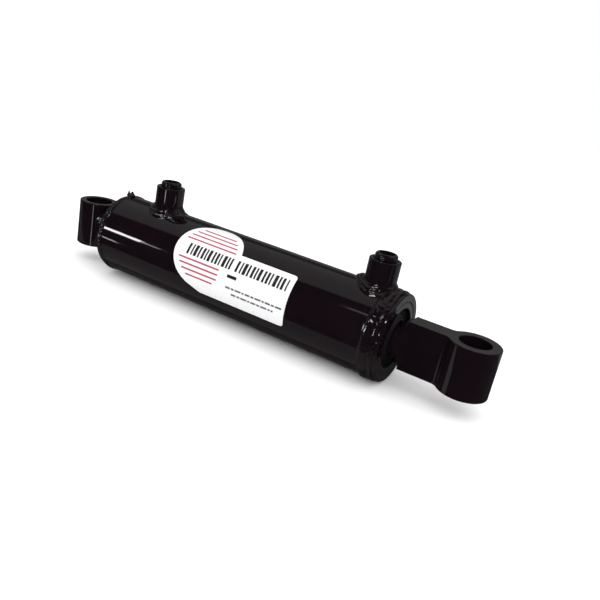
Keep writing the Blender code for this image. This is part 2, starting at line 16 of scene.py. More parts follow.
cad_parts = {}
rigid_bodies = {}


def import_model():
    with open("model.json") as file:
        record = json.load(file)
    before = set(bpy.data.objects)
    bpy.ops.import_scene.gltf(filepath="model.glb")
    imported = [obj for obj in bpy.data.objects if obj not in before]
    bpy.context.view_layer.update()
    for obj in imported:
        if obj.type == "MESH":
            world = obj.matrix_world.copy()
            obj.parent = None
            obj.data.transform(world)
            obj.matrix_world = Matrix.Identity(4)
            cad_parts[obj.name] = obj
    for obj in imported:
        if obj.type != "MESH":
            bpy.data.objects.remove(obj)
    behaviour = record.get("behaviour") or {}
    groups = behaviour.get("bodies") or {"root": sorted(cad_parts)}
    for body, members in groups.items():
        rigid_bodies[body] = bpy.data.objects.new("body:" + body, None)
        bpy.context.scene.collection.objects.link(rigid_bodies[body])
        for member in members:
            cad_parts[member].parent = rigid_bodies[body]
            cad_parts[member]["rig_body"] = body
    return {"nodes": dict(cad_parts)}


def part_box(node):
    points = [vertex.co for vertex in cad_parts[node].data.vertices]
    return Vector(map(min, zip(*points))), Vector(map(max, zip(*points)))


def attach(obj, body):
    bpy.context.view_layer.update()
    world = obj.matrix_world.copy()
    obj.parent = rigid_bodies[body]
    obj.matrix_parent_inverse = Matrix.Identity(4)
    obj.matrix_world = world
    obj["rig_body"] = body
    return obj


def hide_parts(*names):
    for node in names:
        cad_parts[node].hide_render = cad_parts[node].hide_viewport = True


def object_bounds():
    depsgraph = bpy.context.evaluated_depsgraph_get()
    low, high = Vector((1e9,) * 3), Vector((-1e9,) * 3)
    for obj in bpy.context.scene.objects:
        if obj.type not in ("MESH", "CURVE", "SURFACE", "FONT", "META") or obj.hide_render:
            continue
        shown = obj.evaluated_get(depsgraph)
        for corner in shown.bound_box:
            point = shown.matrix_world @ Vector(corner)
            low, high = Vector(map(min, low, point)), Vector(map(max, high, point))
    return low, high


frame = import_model()
cad_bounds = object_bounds()

MM = 0.001
CAD_GAP = 0.3 * MM
HAIR = 0.01 * MM
SAME_PLACE = 1e-7
ARC_STEPS = 6
SMOOTH_ANGLE = math.radians(35)


# ---------------------------------------------------------------- sizes read from the frame


def middle(node, axis):
    low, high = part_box(node)
    return (low[axis] + high[axis]) / 2


def half_size(node, axis):
    low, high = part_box(node)
    return (high[axis] - low[axis]) / 2


HOME = Vector((middle("base_cross_tube", 0), middle("barrel_tube", 1), middle("barrel_tube", 2)))


def stations(node):
    """Where a node starts and ends along the rod."""
    low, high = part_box(node)
    return low.x - HOME.x, high.x - HOME.x


def heights(node):
    """How far a node's bottom and top lie above the rod's axis."""
    low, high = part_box(node)
    return low.z - HOME.z, high.z - HOME.z


BARREL_RADIUS = half_size("barrel_tube", 1)
ROD_RADIUS = half_size("rod", 1)
BOSS_RADIUS = half_size("base_port_boss", 1)
CROSS_TUBE_RADIUS = half_size("base_cross_tube", 1)
CROWN_RADIUS = half_size("head_end_weld", 1)
EYE_RADIUS = half_size("rod_eye", 1)
EYE_HALF_HEIGHT = half_size("rod_eye", 2)
PIN_BORE_RADIUS = 12.85 * MM
OIL_HOLE_RADIUS = 5.5 * MM
PISTON_CLEARANCE = 0.55 * MM
BORE_RADIUS = half_size("piston", 1) + PISTON_CLEARANCE
LAND_RADIUS = BORE_RADIUS + 0.45 * MM
NECK_WELD_LEG = 4.8 * MM
NECK_RADIUS = half_size("base_tube_weld", 2) - NECK_WELD_LEG
PAINT_EDGE = 0.9 * MM

TUBE_START, TUBE_END = stations("barrel_tube")
HEAD_FACE = stations("head_collar")[1]
TANG_START, EYE_END = stations("rod_eye")
EYE_STATION = EYE_END - EYE_RADIUS
ROD_TIP, ROD_END = stations("rod")
BOSS_TOP = heights("base_port_boss")[1]
PORT_STATIONS = {
    place: middle(place + "_port_boss", 0) - HOME.x for place in ("base", "head")
}


# ---------------------------------------------------------------- mesh helpers


def rounded(corners, closed=True):
    """An outline from (along, radius, fillet) corners, with each fillet drawn as an arc."""
    outline = []
    for i, (along, radius, fillet) in enumerate(corners):
        corner = Vector((along, radius))
        at_end = not closed and i in (0, len(corners) - 1)
        if fillet == 0 or at_end:
            outline.append(corner)
            continue
        before = (Vector(corners[i - 1][:2]) - corner).normalized()
        after = (Vector(corners[(i + 1) % len(corners)][:2]) - corner).normalized()
        half = before.angle(after) / 2
        centre = corner + (before + after).normalized() * fillet / math.sin(half)
        first = (corner + before * fillet / math.tan(half) - centre).normalized()
        last = (corner + after * fillet / math.tan(half) - centre).normalized()
        for k in range(ARC_STEPS + 1):
            outline.append(centre + first.slerp(last, k / ARC_STEPS) * fillet)
    return [tuple(point) for point in outline]


def finely(outline, step, closed=True):
    """The outline with points added so that no stretch is longer than step."""
    result = []
    following = outline[1:] + outline[:1]
    for i, (a, b) in enumerate(zip(outline, following)):
        result.append(a)
        if i == len(outline) - 1 and not closed:
            break
        count = math.ceil(math.dist(a, b) / step)
        for k in range(1, count):
            t = k / count
            result.append((a[0] + (b[0] - a[0]) * t, a[1] + (b[1] - a[1]) * t))
    return result


def full_turn(steps):
    """Angles evenly spaced round a circle, the first at 0."""
    return np.arange(steps) * math.tau / steps


def skin(points, wrap_rows=True):
    """A mesh through a grid of points (rows, columns, 3) that closes round its columns."""
    rows, columns = points.shape[:2]
    index = np.arange(rows * columns).reshape(rows, columns)
    last_row = rows if wrap_rows else rows - 1
    faces = []
    for i in range(last_row):
        here = index[i]
        there = index[(i + 1) % rows]
        quads = np.stack([here, there, np.roll(there, -1), np.roll(here, -1)], axis=1)
        faces.extend(quads.tolist())
    mesh = bpy.data.meshes.new("fine")
    mesh.from_pydata(points.reshape(-1, 3).tolist(), [], faces)
    clean(mesh)
    return mesh


def clean(mesh):
    """Joins points that meet, for instance on an axis, and turns every face outwards."""
    shape = bmesh.new()
    shape.from_mesh(mesh)
    bmesh.ops.remove_doubles(shape, verts=shape.verts, dist=SAME_PLACE)
    bmesh.ops.dissolve_degenerate(shape, edges=shape.edges, dist=SAME_PLACE)
    bmesh.ops.recalc_face_normals(shape, faces=shape.faces)
    shape.to_mesh(mesh)
    shape.free()


def turned(outline, steps, upright_at=None, relief=None):
    """A closed outline of (along, radius) pairs turned about the rod's axis, or about the upright
    axis at a station. relief(along, angle, radius) gives what is added to the radius."""
    pairs = np.array(outline)
    along = np.repeat(pairs[:, :1], steps, axis=1)
    radius = np.repeat(pairs[:, 1:], steps, axis=1)
    angles = np.repeat(full_turn(steps)[None, :], len(pairs), axis=0)
    if relief:
        radius = radius + relief(along, angles, radius)
    if upright_at is None:
        points = [along, -radius * np.cos(angles), radius * np.sin(angles)]
    else:
        points = [upright_at + radius * np.cos(angles), radius * np.sin(angles), along]
    on_axis = outline[0][1] == 0 and outline[-1][1] == 0
    return skin(np.stack(points, axis=-1), wrap_rows=not on_axis)


def add_piece(name, mesh, material):
    """Shows a mesh as the piece that stands for the CAD node of that name, on that node's body."""
    mesh.name = name + "_fine"
    mesh.transform(Matrix.Translation(HOME))
    mesh.shade_smooth()
    mesh.set_sharp_from_angle(angle=SMOOTH_ANGLE)
    mesh.materials.append(material)
    piece = bpy.data.objects.new(name + "_fine", mesh)
    bpy.context.scene.collection.objects.link(piece)
    normals = piece.modifiers.new("Weighted normals", "WEIGHTED_NORMAL")
    normals.keep_sharp = True
    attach(piece, frame["nodes"][name]["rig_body"])
    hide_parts(name)
    return piece


def combine(mesh, other, operation):
    """The exact Boolean of two meshes, as a new mesh. Both of the old ones are used up."""
    first = bpy.data.objects.new("first", mesh)
    second = bpy.data.objects.new("second", other)
    for obj in (first, second):
        bpy.context.scene.collection.objects.link(obj)
    modifier = first.modifiers.new("Boolean", "BOOLEAN")
    modifier.operation = operation
    modifier.solver = "EXACT"
    modifier.object = second
    graph = bpy.context.evaluated_depsgraph_get()
    result = bpy.data.meshes.new_from_object(first.evaluated_get(graph))
    bpy.data.objects.remove(first)
    bpy.data.objects.remove(second)
    bpy.data.meshes.remove(mesh)
    bpy.data.meshes.remove(other)
    return result


def wander(angle, seed):
    """A smooth, repeatable wobble round a full turn, between about -1 and 1."""
    waves = ((2, 0.5), (3, 0.4), (5, 0.3), (9, 0.25), (14, 0.2))
    return sum(
        size * np.sin(turns * angle + seed * (1.7 + turns)) for turns, size in waves
    ) / 1.2


def ripple(phase):
    """One soft scale for every whole number: paint has filled the valleys between them."""
    return 0.5 * np.cos(math.tau * phase) + 0.12 * np.cos(2 * math.tau * phase)


# ---------------------------------------------------------------- shader nodes


def set_socket(owner, socket, value):
    """Links another node's output to a socket, or sets the socket to a plain value."""
    if isinstance(value, bpy.types.NodeSocket):
        owner.node_tree.links.new(value, socket)
    elif socket.type == "RGBA":
        socket.default_value = (*value, 1)
    else:
        socket.default_value = value


def feed(owner, node, **inputs):
    """Sets a node's inputs by name, with _ for a space, in a material or world."""
    for key, value in inputs.items():
        set_socket(owner, node.inputs[key.replace("_", " ")], value)


def add_node(owner, kind, **inputs):
    node = owner.node_tree.nodes.new(kind)
    feed(owner, node, **inputs)
    return node


def calculate(owner, operation, *values):
    """A sum on single numbers."""
    node = add_node(owner, "ShaderNodeMath")
    node.operation = operation
    for socket, value in zip(node.inputs, values):
        set_socket(owner, socket, value)
    return node.outputs["Value"]


def calculate_vector(owner, operation, *values):
    """A sum on vectors. A length and a dot product come out as a single number."""
    node = add_node(owner, "ShaderNodeVectorMath")
    node.operation = operation
    for socket, value in zip(node.inputs, values):
        set_socket(owner, socket, value)
    return node.outputs["Value" if operation in ("LENGTH", "DOT_PRODUCT") else "Vector"]


def spread(owner, value, low, high, start=0.0, end=1.0):
    """Maps a value from start..end onto low..high."""
    node = add_node(owner, "ShaderNodeMapRange", Value=value)
    feed(owner, node, From_Min=start, From_Max=end, To_Min=low, To_Max=high)
    return node.outputs["Result"]


def mix_value(owner, factor, first, second):
    node = add_node(owner, "ShaderNodeMix", Factor=factor, A=first, B=second)
    return node.outputs["Result"]


def mix_colour(material, factor, first, second):
    node = add_node(material, "ShaderNodeMix")
    node.data_type = "RGBA"
    feed(material, node, Factor=factor, A=first, B=second)
    return node.outputs["Result"]


def object_position(material, scale=(1, 1, 1)):
    place = add_node(material, "ShaderNodeTexCoord").outputs["Object"]
    return add_node(material, "ShaderNodeMapping", Vector=place, Scale=scale).outputs["Vector"]


def noise(material, cell, detail=2.0, stretch=(1, 1, 1)):
    """Noise between 0 and 1 whose cells are about cell metres across."""
    node = add_node(material, "ShaderNodeTexNoise", Scale=1 / cell, Detail=detail)
    feed(material, node, Vector=object_position(material, stretch))
    return node.outputs["Fac"]


def add_bump(material, shader, height, depth, before=None):
    """Raises the surface by depth metres times height, on top of an earlier bump."""
    node = add_node(material, "ShaderNodeBump", Strength=1.0, Distance=depth, Height=height)
    if before:
        feed(material, node, Normal=before)
    feed(material, shader, Normal=node.outputs["Normal"])
    return node.outputs["Normal"]


def facing_up(material):
    """1 on a piece's flat ends that face along its own upright axis, and 0 on its sides."""
    normal = add_node(material, "ShaderNodeTexCoord").outputs["Normal"]
    split = add_node(material, "ShaderNodeSeparateXYZ", Vector=normal)
    steepness = calculate(material, "ABSOLUTE", split.outputs["Z"])
    return spread(material, steepness, 0, 1, 0.9, 0.97)


# ---------------------------------------------------------------- materials

PAINT_DARK = (0.0034, 0.0018, 0.0028)
PAINT_LIGHT = (0.0052, 0.0030, 0.0044)
# Painted sheen: greys lighter than the enamel, laid on flat cut ends in place of the light they mirror.
PAINTED_SHEEN_DARK = (0.024, 0.021, 0.021)
PAINTED_SHEEN_LIGHT = (0.034, 0.030, 0.030)
FILM_DARK = (0.0055, 0.0038, 0.0036)
FILM_LIGHT = (0.0090, 0.0064, 0.0060)
CHROME_DARK = (0.60, 0.61, 0.63)
CHROME_LIGHT = (0.78, 0.79, 0.81)
RIM_WIDTH = 5.2 * MM
PAINT_REACH = 2.5 * MM
PAINT_BLUR = 0.2 * MM


def new_material(name):
    material = bpy.data.materials.new(name)
    material.use_nodes = True
    return material, material.node_tree.nodes["Principled BSDF"]


def gloss_enamel(name, cut_ends_with_sheen=False):
    """Black enamel with faint orange peel. On sawn or flame-cut ends it lies thin and dull, and those flat
    ends are coloured a lighter grey as a painted sheen, in place of the light they would mirror.
    """
    material, shader = new_material(name)
    colour = mix_colour(material, noise(material, 30 * MM, 3), PAINT_DARK, PAINT_LIGHT)
    gloss = spread(material, noise(material, 9 * MM), 0.04, 0.075, 0.3, 0.7)
    peel = add_bump(material, shader, noise(material, 2.6 * MM, 1), 0.006 * MM)
    waves = add_bump(material, shader, noise(material, 16 * MM, 1), 0.05 * MM, peel)
    if cut_ends_with_sheen:
        ends = facing_up(material)
        gloss = mix_value(material, ends, gloss, 0.42)
        # Painted sheen: the flat ends get a lighter grey instead of being lit that way.
        painted_sheen = mix_colour(material, noise(material, 5 * MM, 4), PAINTED_SHEEN_DARK, PAINTED_SHEEN_LIGHT)
        colour = mix_colour(material, ends, colour, painted_sheen)
        rough = mix_value(material, ends, 0.5, noise(material, 0.7 * MM, 3))
        add_bump(material, shader, rough, 0.05 * MM, waves)
    feed(material, shader, Base_Color=colour, Roughness=gloss)
    return material


def weld_enamel(name):
    """The same enamel over welds, where it gathers a little thicker and shinier."""
    material, shader = new_material(name)
    colour = mix_colour(material, noise(material, 6 * MM, 3), PAINT_DARK, PAINT_LIGHT)
    gloss = spread(material, noise(material, 4 * MM), 0.06, 0.12, 0.3, 0.7)
    add_bump(material, shader, noise(material, 2.4 * MM, 1), 0.02 * MM)
    feed(material, shader, Base_Color=colour, Roughness=gloss)
    return material


def gland_finish():
    """Gloss enamel on the gland's rim, and a dull brown film in the recess round the wiper."""
    material = gloss_enamel("gland_enamel")
    shader = material.node_tree.nodes["Principled BSDF"]
    enamel = shader.inputs["Base Color"].links[0].from_socket
    gloss = shader.inputs["Roughness"].links[0].from_socket
    film = mix_colour(material, noise(material, 4 * MM, 3), FILM_DARK, FILM_LIGHT)
    centred = calculate_vector(material, "SUBTRACT", object_position(material), HOME)
    across = calculate_vector(material, "MULTIPLY", centred, (0, 1, 1))
    radius = calculate_vector(material, "LENGTH", across)
    edge = half_size("gland", 1) - RIM_WIDTH
    recess = spread(material, radius, 1, 0, edge - PAINT_BLUR, edge + PAINT_BLUR)
    colour = mix_colour(material, recess, enamel, film)
    feed(material, shader, Base_Color=colour, Roughness=mix_value(material, recess, gloss, 0.6))
    feed(material, shader, Specular_IOR_Level=mix_value(material, recess, 0.5, 0.15))
    return material


def rod_finish():
    """Hard chrome, with the shop's black paint over the end that stays outside the gland."""
    material, shader = new_material("rod_chrome")
    rings = noise(material, 1 * MM, 4, (6, 0.05, 0.05))
    chrome = mix_colour(material, rings, CHROME_DARK, CHROME_LIGHT)
    place = add_node(material, "ShaderNodeSeparateXYZ", Vector=object_position(material))
    ragged = spread(material, noise(material, 2 * MM, 3), -0.3 * MM, 0.3 * MM)
    along = calculate(material, "ADD", place.outputs["X"], ragged)
    edge = HOME.x + HEAD_FACE - PAINT_REACH
    painted = spread(material, along, 0, 1, edge - PAINT_BLUR, edge + PAINT_BLUR)
    feed(material, shader, Base_Color=mix_colour(material, painted, chrome, PAINT_LIGHT))
    feed(material, shader, Metallic=mix_value(material, painted, 1.0, 0.0))
    feed(material, shader, Roughness=mix_value(material, painted, 0.06, 0.09))
    add_bump(material, shader, rings, 0.002 * MM)
    return material


def metal(name, dark, light, roughness, stretch, depth):
    """Turned or ground metal: its tool marks run across the stretched direction."""
    material, shader = new_material(name)
    marks = noise(material, 1 * MM, 4, stretch)
    spots = noise(material, 7 * MM, 3)
    gloss = spread(material, spots, roughness * 0.8, roughness * 1.3, 0.3, 0.7)
    feed(material, shader, Base_Color=mix_colour(material, marks, dark, light), Metallic=1)
    feed(material, shader, Roughness=gloss)
    add_bump(material, shader, marks, depth)
    return material


def soft_plastic(name, dark, light, roughness):
    """Moulded rubber or plastic with a fine even grain."""
    material, shader = new_material(name)
    grain = noise(material, 0.5 * MM, 4)
    gloss = spread(material, noise(material, 3 * MM), roughness * 0.85, roughness * 1.15)
    feed(material, shader, Base_Color=mix_colour(material, grain, dark, light), Roughness=gloss)
    add_bump(material, shader, grain, 0.01 * MM)
    return material


def ink(name, dark, light, roughness=0.35):
    """A printed or plain face of the sticker, slightly uneven as a press leaves it."""
    material, shader = new_material(name)
    tone = noise(material, 2 * MM, 4)
    gloss = spread(material, noise(material, 6 * MM), roughness * 0.8, roughness * 1.2)
    feed(material, shader, Base_Color=mix_colour(material, tone, dark, light), Roughness=gloss)
    add_bump(material, shader, noise(material, 9 * MM, 1), 0.008 * MM)
    return material


ENAMEL = gloss_enamel("gloss_enamel")
GLAND_ENAMEL = gland_finish()
# Enamel whose flat ends carry a painted sheen, a lighter grey in place of mirrored light.
CUT_END_SHEEN_ENAMEL = gloss_enamel("cut_end_sheen_enamel", cut_ends_with_sheen=True)
WELD_ENAMEL = weld_enamel("weld_enamel")
CHROME = rod_finish()
IRON = metal("turned_iron", (0.13, 0.13, 0.14), (0.25, 0.25, 0.26), 0.42, (6, 0.2, 0.2), 0.01 * MM)
STEEL = metal("nut_steel", (0.35, 0.35, 0.36), (0.52, 0.52, 0.53), 0.32, (2, 2, 2), 0.006 * MM)
PAINTED_RUBBER = soft_plastic("painted_rubber", FILM_DARK, FILM_LIGHT, 0.5)
RUBBER = soft_plastic("nitrile_rubber", (0.012, 0.012, 0.012), (0.028, 0.028, 0.028), 0.55)
BEARING = soft_plastic("bearing_plastic", (0.22, 0.25, 0.20), (0.36, 0.39, 0.33), 0.45)
VINYL = ink("vinyl_white", (0.600, 0.600, 0.605), (0.610, 0.610, 0.615), 0.28)
BLACK_INK = ink("black_ink", (0.008, 0.008, 0.009), (0.02, 0.02, 0.022))
RED_INK = ink("red_ink", (0.30, 0.030, 0.060), (0.36, 0.045, 0.080))
GREY_INK = ink("grey_ink", (0.07, 0.07, 0.08), (0.12, 0.12, 0.13))


# ---------------------------------------------------------------- welds

WELD_STEPS = 720
GIRTH_STEPS = 1152
START_LUMPS = {"base": 3.5 * MM, "head": 8.0 * MM}


def fillet_bead(roots, upper_toes, lower_toes, hollow, passes, pitch, height, seed):
    """A fillet weld round a closed joint, laid in passes that each leave a ridge.

    Each array has one point for each step round the joint: the corner, and where the weld's face
    meets either side. hollow is 1 for a face that curves fully into the corner and -1 for a bulge.
    """
    across_steps = 22
    sink = 0.12 * MM
    root_depth = 0.6 * MM
    middles = (upper_toes + lower_toes) / 2
    outward = middles - roots
    outward /= np.linalg.norm(outward, axis=1, keepdims=True)
    control = middles + (roots - middles) * np.reshape(hollow, (-1, 1))
    first = upper_toes - outward * sink
    last = lower_toes - outward * sink
    strides = np.linalg.norm(np.roll(middles, -1, axis=0) - middles, axis=1)
    travelled = np.concatenate([[0], np.cumsum(strides)[:-1]]) / strides.sum()
    scales = round(strides.sum() / pitch)
    turn = travelled * math.tau
    rows = []
    for k in range(across_steps + 1):
        t = k / across_steps
        face = (1 - t) ** 2 * first + 2 * t * (1 - t) * control + t**2 * last
        envelope = math.sin(math.pi * t) ** 0.7
        crescent = 0.8 * math.sin(math.pi * t)
        phase = scales * travelled + crescent + 0.35 * wander(turn, seed)
        ridge = np.cos(math.tau * (passes * t + 0.12 * wander(turn * 2, seed + 2)))
        uneven = 0.6 * ripple(phase) + 1.2 * ridge + wander(turn * 2 + 2 * t, seed + 1)
        lift = envelope * height * uneven
        rows.append(face + outward * lift[:, None])
    rows.append(roots - outward * root_depth)
    return skin(np.array(rows))


def girth_bead(start, end, crown, root_depth, pitch, height, seed):
    """A weld run round the barrel. crown(t) gives its height above the barrel across its width."""
    width_steps = 44
    root_inset = (end - start) * 0.3
    outline = []
    for k in range(width_steps + 1):
        t = k / width_steps
        outline.append((start + (end - start) * t, BARREL_RADIUS + crown(t)))
    outline.append((end - root_inset, BARREL_RADIUS - root_depth))
    outline.append((start + root_inset, BARREL_RADIUS - root_depth))
    count = round(math.tau * BARREL_RADIUS / pitch)

    def relief(along, angle, radius):
        t = np.clip((along - start) / (end - start), 0, 1)
        crowned = np.array([[max(crown(x), 0) for x in t[:, 0]]]).T
        on_face = radius > BARREL_RADIUS - 0.3 * MM
        envelope = np.clip(crowned / (0.7 * MM), 0, 1) * on_face
        bow = 1.1 * np.sin(math.pi * t)
        phase = count * angle / math.tau + bow + 0.4 * wander(angle, seed)
        lumps = 0.10 * MM * wander(angle * 2 + 3 * t, seed + 2)
        return envelope * (height * ripple(phase) + lumps)

    return turned(outline, GIRTH_STEPS, relief=relief)


def lump(station, aside, height, width, rise):
    """An uneven drop of weld metal at a height above the top of the barrel."""
    shape = bmesh.new()
    bmesh.ops.create_uvsphere(shape, u_segments=48, v_segments=32, radius=1)
    for vert in shape.verts:
        x, y, z = vert.co
        uneven = 1 + 0.09 * math.sin(5 * x + 3 * z) * math.cos(4 * y - z)
        along = station + x * width * uneven
        across = aside + y * width * 0.9 * uneven
        vert.co = Vector((along, across, BARREL_RADIUS + height + z * rise))
    mesh = bpy.data.meshes.new("lump")
    shape.to_mesh(mesh)
    shape.free()
    return mesh


def base_cap_weld():
    """The weld round the base cap, with a two-horned dab of metal where the run was stopped."""
    start, end = stations("base_cap_weld")
    start -= CAD_GAP

    def crown(t):
        return 0.95 * MM * math.sin(math.pi * t) ** 0.9 - 0.15 * MM

    mesh = girth_bead(
        start, end, crown, root_depth=5 * MM, pitch=3.6 * MM, height=0.42 * MM, seed=1
    )
    peak = heights("base_cap_weld")[1] - BARREL_RADIUS
    drops = (
        lump(start + 1.6 * MM, 0.4 * MM, 0.6 * MM, width=4.4 * MM, rise=2.3 * MM),
        lump(start - 0.9 * MM, -0.3 * MM, 1.4 * MM, width=1.2 * MM, rise=peak - 0.4 * MM),
        lump(start + 2.8 * MM, 0.6 * MM, 1.2 * MM, width=2.1 * MM, rise=peak - 0.5 * MM),
    )
    for drop in drops:
        mesh = combine(mesh, drop, "UNION")
    add_piece("base_cap_weld", mesh, WELD_ENAMEL)


def head_end_weld():
    """Two passes side by side: a wide one that peaks early, and a narrower one by the collar."""
    start, end = stations("head_end_weld")
    full = CROWN_RADIUS - BARREL_RADIUS

    def one_pass(t, centre, width, rise):
        return rise * math.exp(-(((t - centre) / width) ** 4)) - 0.1 * MM

    def crown(t):
        return max(one_pass(t, 0.38, 0.27, full), one_pass(t, 0.83, 0.15, 0.82 * full))

    mesh = girth_bead(
        start, end, crown, root_depth=4 * MM, pitch=4.8 * MM, height=0.17 * MM, seed=4
    )
    add_piece("head_end_weld", mesh, WELD_ENAMEL)


def base_tube_weld():
    """The fillet between the cross tube and the cap's neck."""
    angle = full_turn(WELD_STEPS)
    across, up = -np.cos(angle), np.sin(angle)

    def on_tube(y):
        return np.sqrt(np.maximum(CROSS_TUBE_RADIUS**2 - y**2, 0))

    foot = NECK_RADIUS * across
    roots = np.stack([on_tube(foot), foot, NECK_RADIUS * up], axis=-1)
    wide = (NECK_RADIUS + 1.2 * MM) * across
    tube_toes = np.stack([on_tube(wide), wide, (NECK_RADIUS + 3.9 * MM) * up], axis=-1)
    neck_toes = roots + np.array([7.5 * MM, 0, 0])
    mesh = fillet_bead(
        roots,
        tube_toes,
        neck_toes,
        hollow=0.25,
        passes=1,
        pitch=3.6 * MM,
        height=0.20 * MM,
        seed=2,
    )
    add_piece("base_tube_weld", mesh, WELD_ENAMEL)


def port_weld(place, station):
    """The weld round a boss: a hollow flare towards the head, a fuller run elsewhere, and a lump
    on the far side where the run was started."""
    angle = full_turn(WELD_STEPS)
    along, across = np.cos(angle), np.sin(angle)
    to_head = (1 + along) / 2
    to_start = np.clip(0.66 * across - 0.75 * along, 0, 1) ** 3
    to_front = np.clip(-0.6 * across - 0.8 * along, 0, 1) ** 2
    upper_leg = (4.6 + 2.5 * to_head) * MM
    lower_leg = (6.6 + 1.4 * to_head - 1.6 * to_front) * MM + START_LUMPS[place] * to_start

    def on_barrel(radius):
        y = radius * across
        return np.stack([station + radius * along, y, np.sqrt(BARREL_RADIUS**2 - y**2)], axis=-1)

    roots = on_barrel(BOSS_RADIUS)
    mesh = fillet_bead(
        roots,
        roots + np.stack([0 * along, 0 * along, upper_leg], axis=-1),
        on_barrel(BOSS_RADIUS + lower_leg),
        hollow=-0.35 + 1.2 * to_head**1.5 - 0.7 * to_start,
        passes=2.6,
        pitch=5 * MM,
        height=0.15 * MM,
        seed=3 + station / BARREL_RADIUS,
    )
    add_piece(place + "_port_weld", mesh, WELD_ENAMEL)


def rod_eye_weld():
    """One rippled ring of weld where the tang crosses the rod's end."""
    bead = 3.7 * MM
    station = TANG_START - 1.3 * MM
    half_width = half_size("rod_eye_weld", 1)
    half_height = half_size("rod_eye_weld", 2)
    angle = full_turn(WELD_STEPS)
    ring_y = (half_width - bead) * np.cos(angle)
    ring_z = (half_height - bead) * np.sin(angle)
    out_y = np.cos(angle) * half_height
    out_z = np.sin(angle) * half_width
    length = np.hypot(out_y, out_z)
    rows = []
    for turn in full_turn(28):
        phase = 24 * angle / math.tau + 0.7 * math.cos(turn) + 0.4 * wander(angle, 7)
        size = bead + 0.22 * MM * ripple(phase) + 0.15 * MM * wander(angle * 2, 8)
        along = station + 1.45 * size * math.sin(turn)
        outward = size * math.cos(turn) / length
        rows.append(np.stack([along, ring_y + outward * out_y, ring_z + outward * out_z], axis=-1))
    add_piece("rod_eye_weld", skin(np.array(rows)), WELD_ENAMEL)


# ---------------------------------------------------------------- base end and barrel


def base_cross_tube():
    low, high = heights("base_cross_tube")
    outline = rounded([
        (low, PIN_BORE_RADIUS, PAINT_EDGE),
        (high, PIN_BORE_RADIUS, PAINT_EDGE),
        (high, CROSS_TUBE_RADIUS, PAINT_EDGE),
        (low, CROSS_TUBE_RADIUS, PAINT_EDGE),
    ])
    mesh = turned(finely(outline, 3 * MM), 192, upright_at=0)
    add_piece("base_cross_tube", mesh, ENAMEL)


def base_end_cap():
    """The cap: its neck ends in a saddle on the cross tube, and its spigot lies inside the barrel."""
    rim_width = 1.6 * MM
    saddle_depth = 0.5 * MM
    inner_face = stations("base_end_cap")[1]
    rim_start = stations("base_cap_weld")[0] - rim_width
    rim_end = rim_start + rim_width
    spigot = BORE_RADIUS - CAD_GAP
    saddle_row = CROSS_TUBE_RADIUS - saddle_depth
    outline = rounded([
        (saddle_row, 0, 0),
        (saddle_row, NECK_RADIUS, 0),
        (rim_start - 2 * MM, NECK_RADIUS, 5 * MM),
        (rim_start, NECK_RADIUS + 6 * MM, 1 * MM),
        (rim_start, BARREL_RADIUS, 1.0 * MM),
        (rim_end, BARREL_RADIUS, 0.3 * MM),
        (rim_end + 2.6 * MM, spigot, 0.3 * MM),
        (inner_face, spigot, 1.0 * MM),
        (inner_face, 0, 0),
    ], closed=False)
    mesh = turned(finely(outline, 2 * MM, closed=False), 192)
    for vert in mesh.vertices:
        if vert.co.x < saddle_row + HAIR:
            vert.co.x = math.sqrt(CROSS_TUBE_RADIUS**2 - vert.co.y**2) - saddle_depth
    add_piece("base_end_cap", mesh, ENAMEL)


def upright_cylinder(radius, low, high, station):
    outline = [(low, 0), (low, radius), (high, radius), (high, 0)]
    return turned(outline, 64, upright_at=station)


def barrel_tube():
    """The tube, with its ends sloped for the girth welds and an oil hole under each boss."""
    slope = 2.1 * MM
    outline = rounded([
        (TUBE_START, BORE_RADIUS, 0),
        (TUBE_END, BORE_RADIUS, 0),
        (TUBE_END, LAND_RADIUS, 0),
        (TUBE_END - slope, BARREL_RADIUS, 0.4 * MM),
        (TUBE_START + slope, BARREL_RADIUS, 0.4 * MM),
        (TUBE_START, LAND_RADIUS, 0),
    ])

    def relief(along, angle, radius):
        """The skin of drawn tube is true to a few hundredths of a millimetre."""
        on_skin = radius > BARREL_RADIUS - HAIR
        waves = np.sin(along / (17 * MM) + 2 * np.sin(angle)) + np.sin(along / (41 * MM) - angle)
        return on_skin * 0.008 * MM * waves

    mesh = turned(finely(outline, 5 * MM), 288, relief=relief)
    for station in PORT_STATIONS.values():
        hole = upright_cylinder(OIL_HOLE_RADIUS, 20 * MM, 45 * MM, station)
        mesh = combine(mesh, hole, "DIFFERENCE")
    add_piece("barrel_tube", mesh, ENAMEL)


def head_collar():
    """The collar, with a slightly proud band round its face and a sloped edge for the weld."""
    root = TUBE_END + 2.2 * MM
    band_radius = BARREL_RADIUS + 0.25 * MM
    body_radius = BARREL_RADIUS - 0.2 * MM
    outline = rounded([
        (root, BORE_RADIUS, 0),
        (HEAD_FACE, BORE_RADIUS, 0.5 * MM),
        (HEAD_FACE, band_radius, 1.2 * MM),
        (HEAD_FACE - 2.2 * MM, band_radius, 0.6 * MM),
        (HEAD_FACE - 3.4 * MM, body_radius, 0.6 * MM),
        (root + 2 * MM, body_radius, 0),
        (root, LAND_RADIUS, 0),
    ])
    mesh = turned(finely(outline, 3 * MM), 288)
    add_piece("head_collar", mesh, ENAMEL)


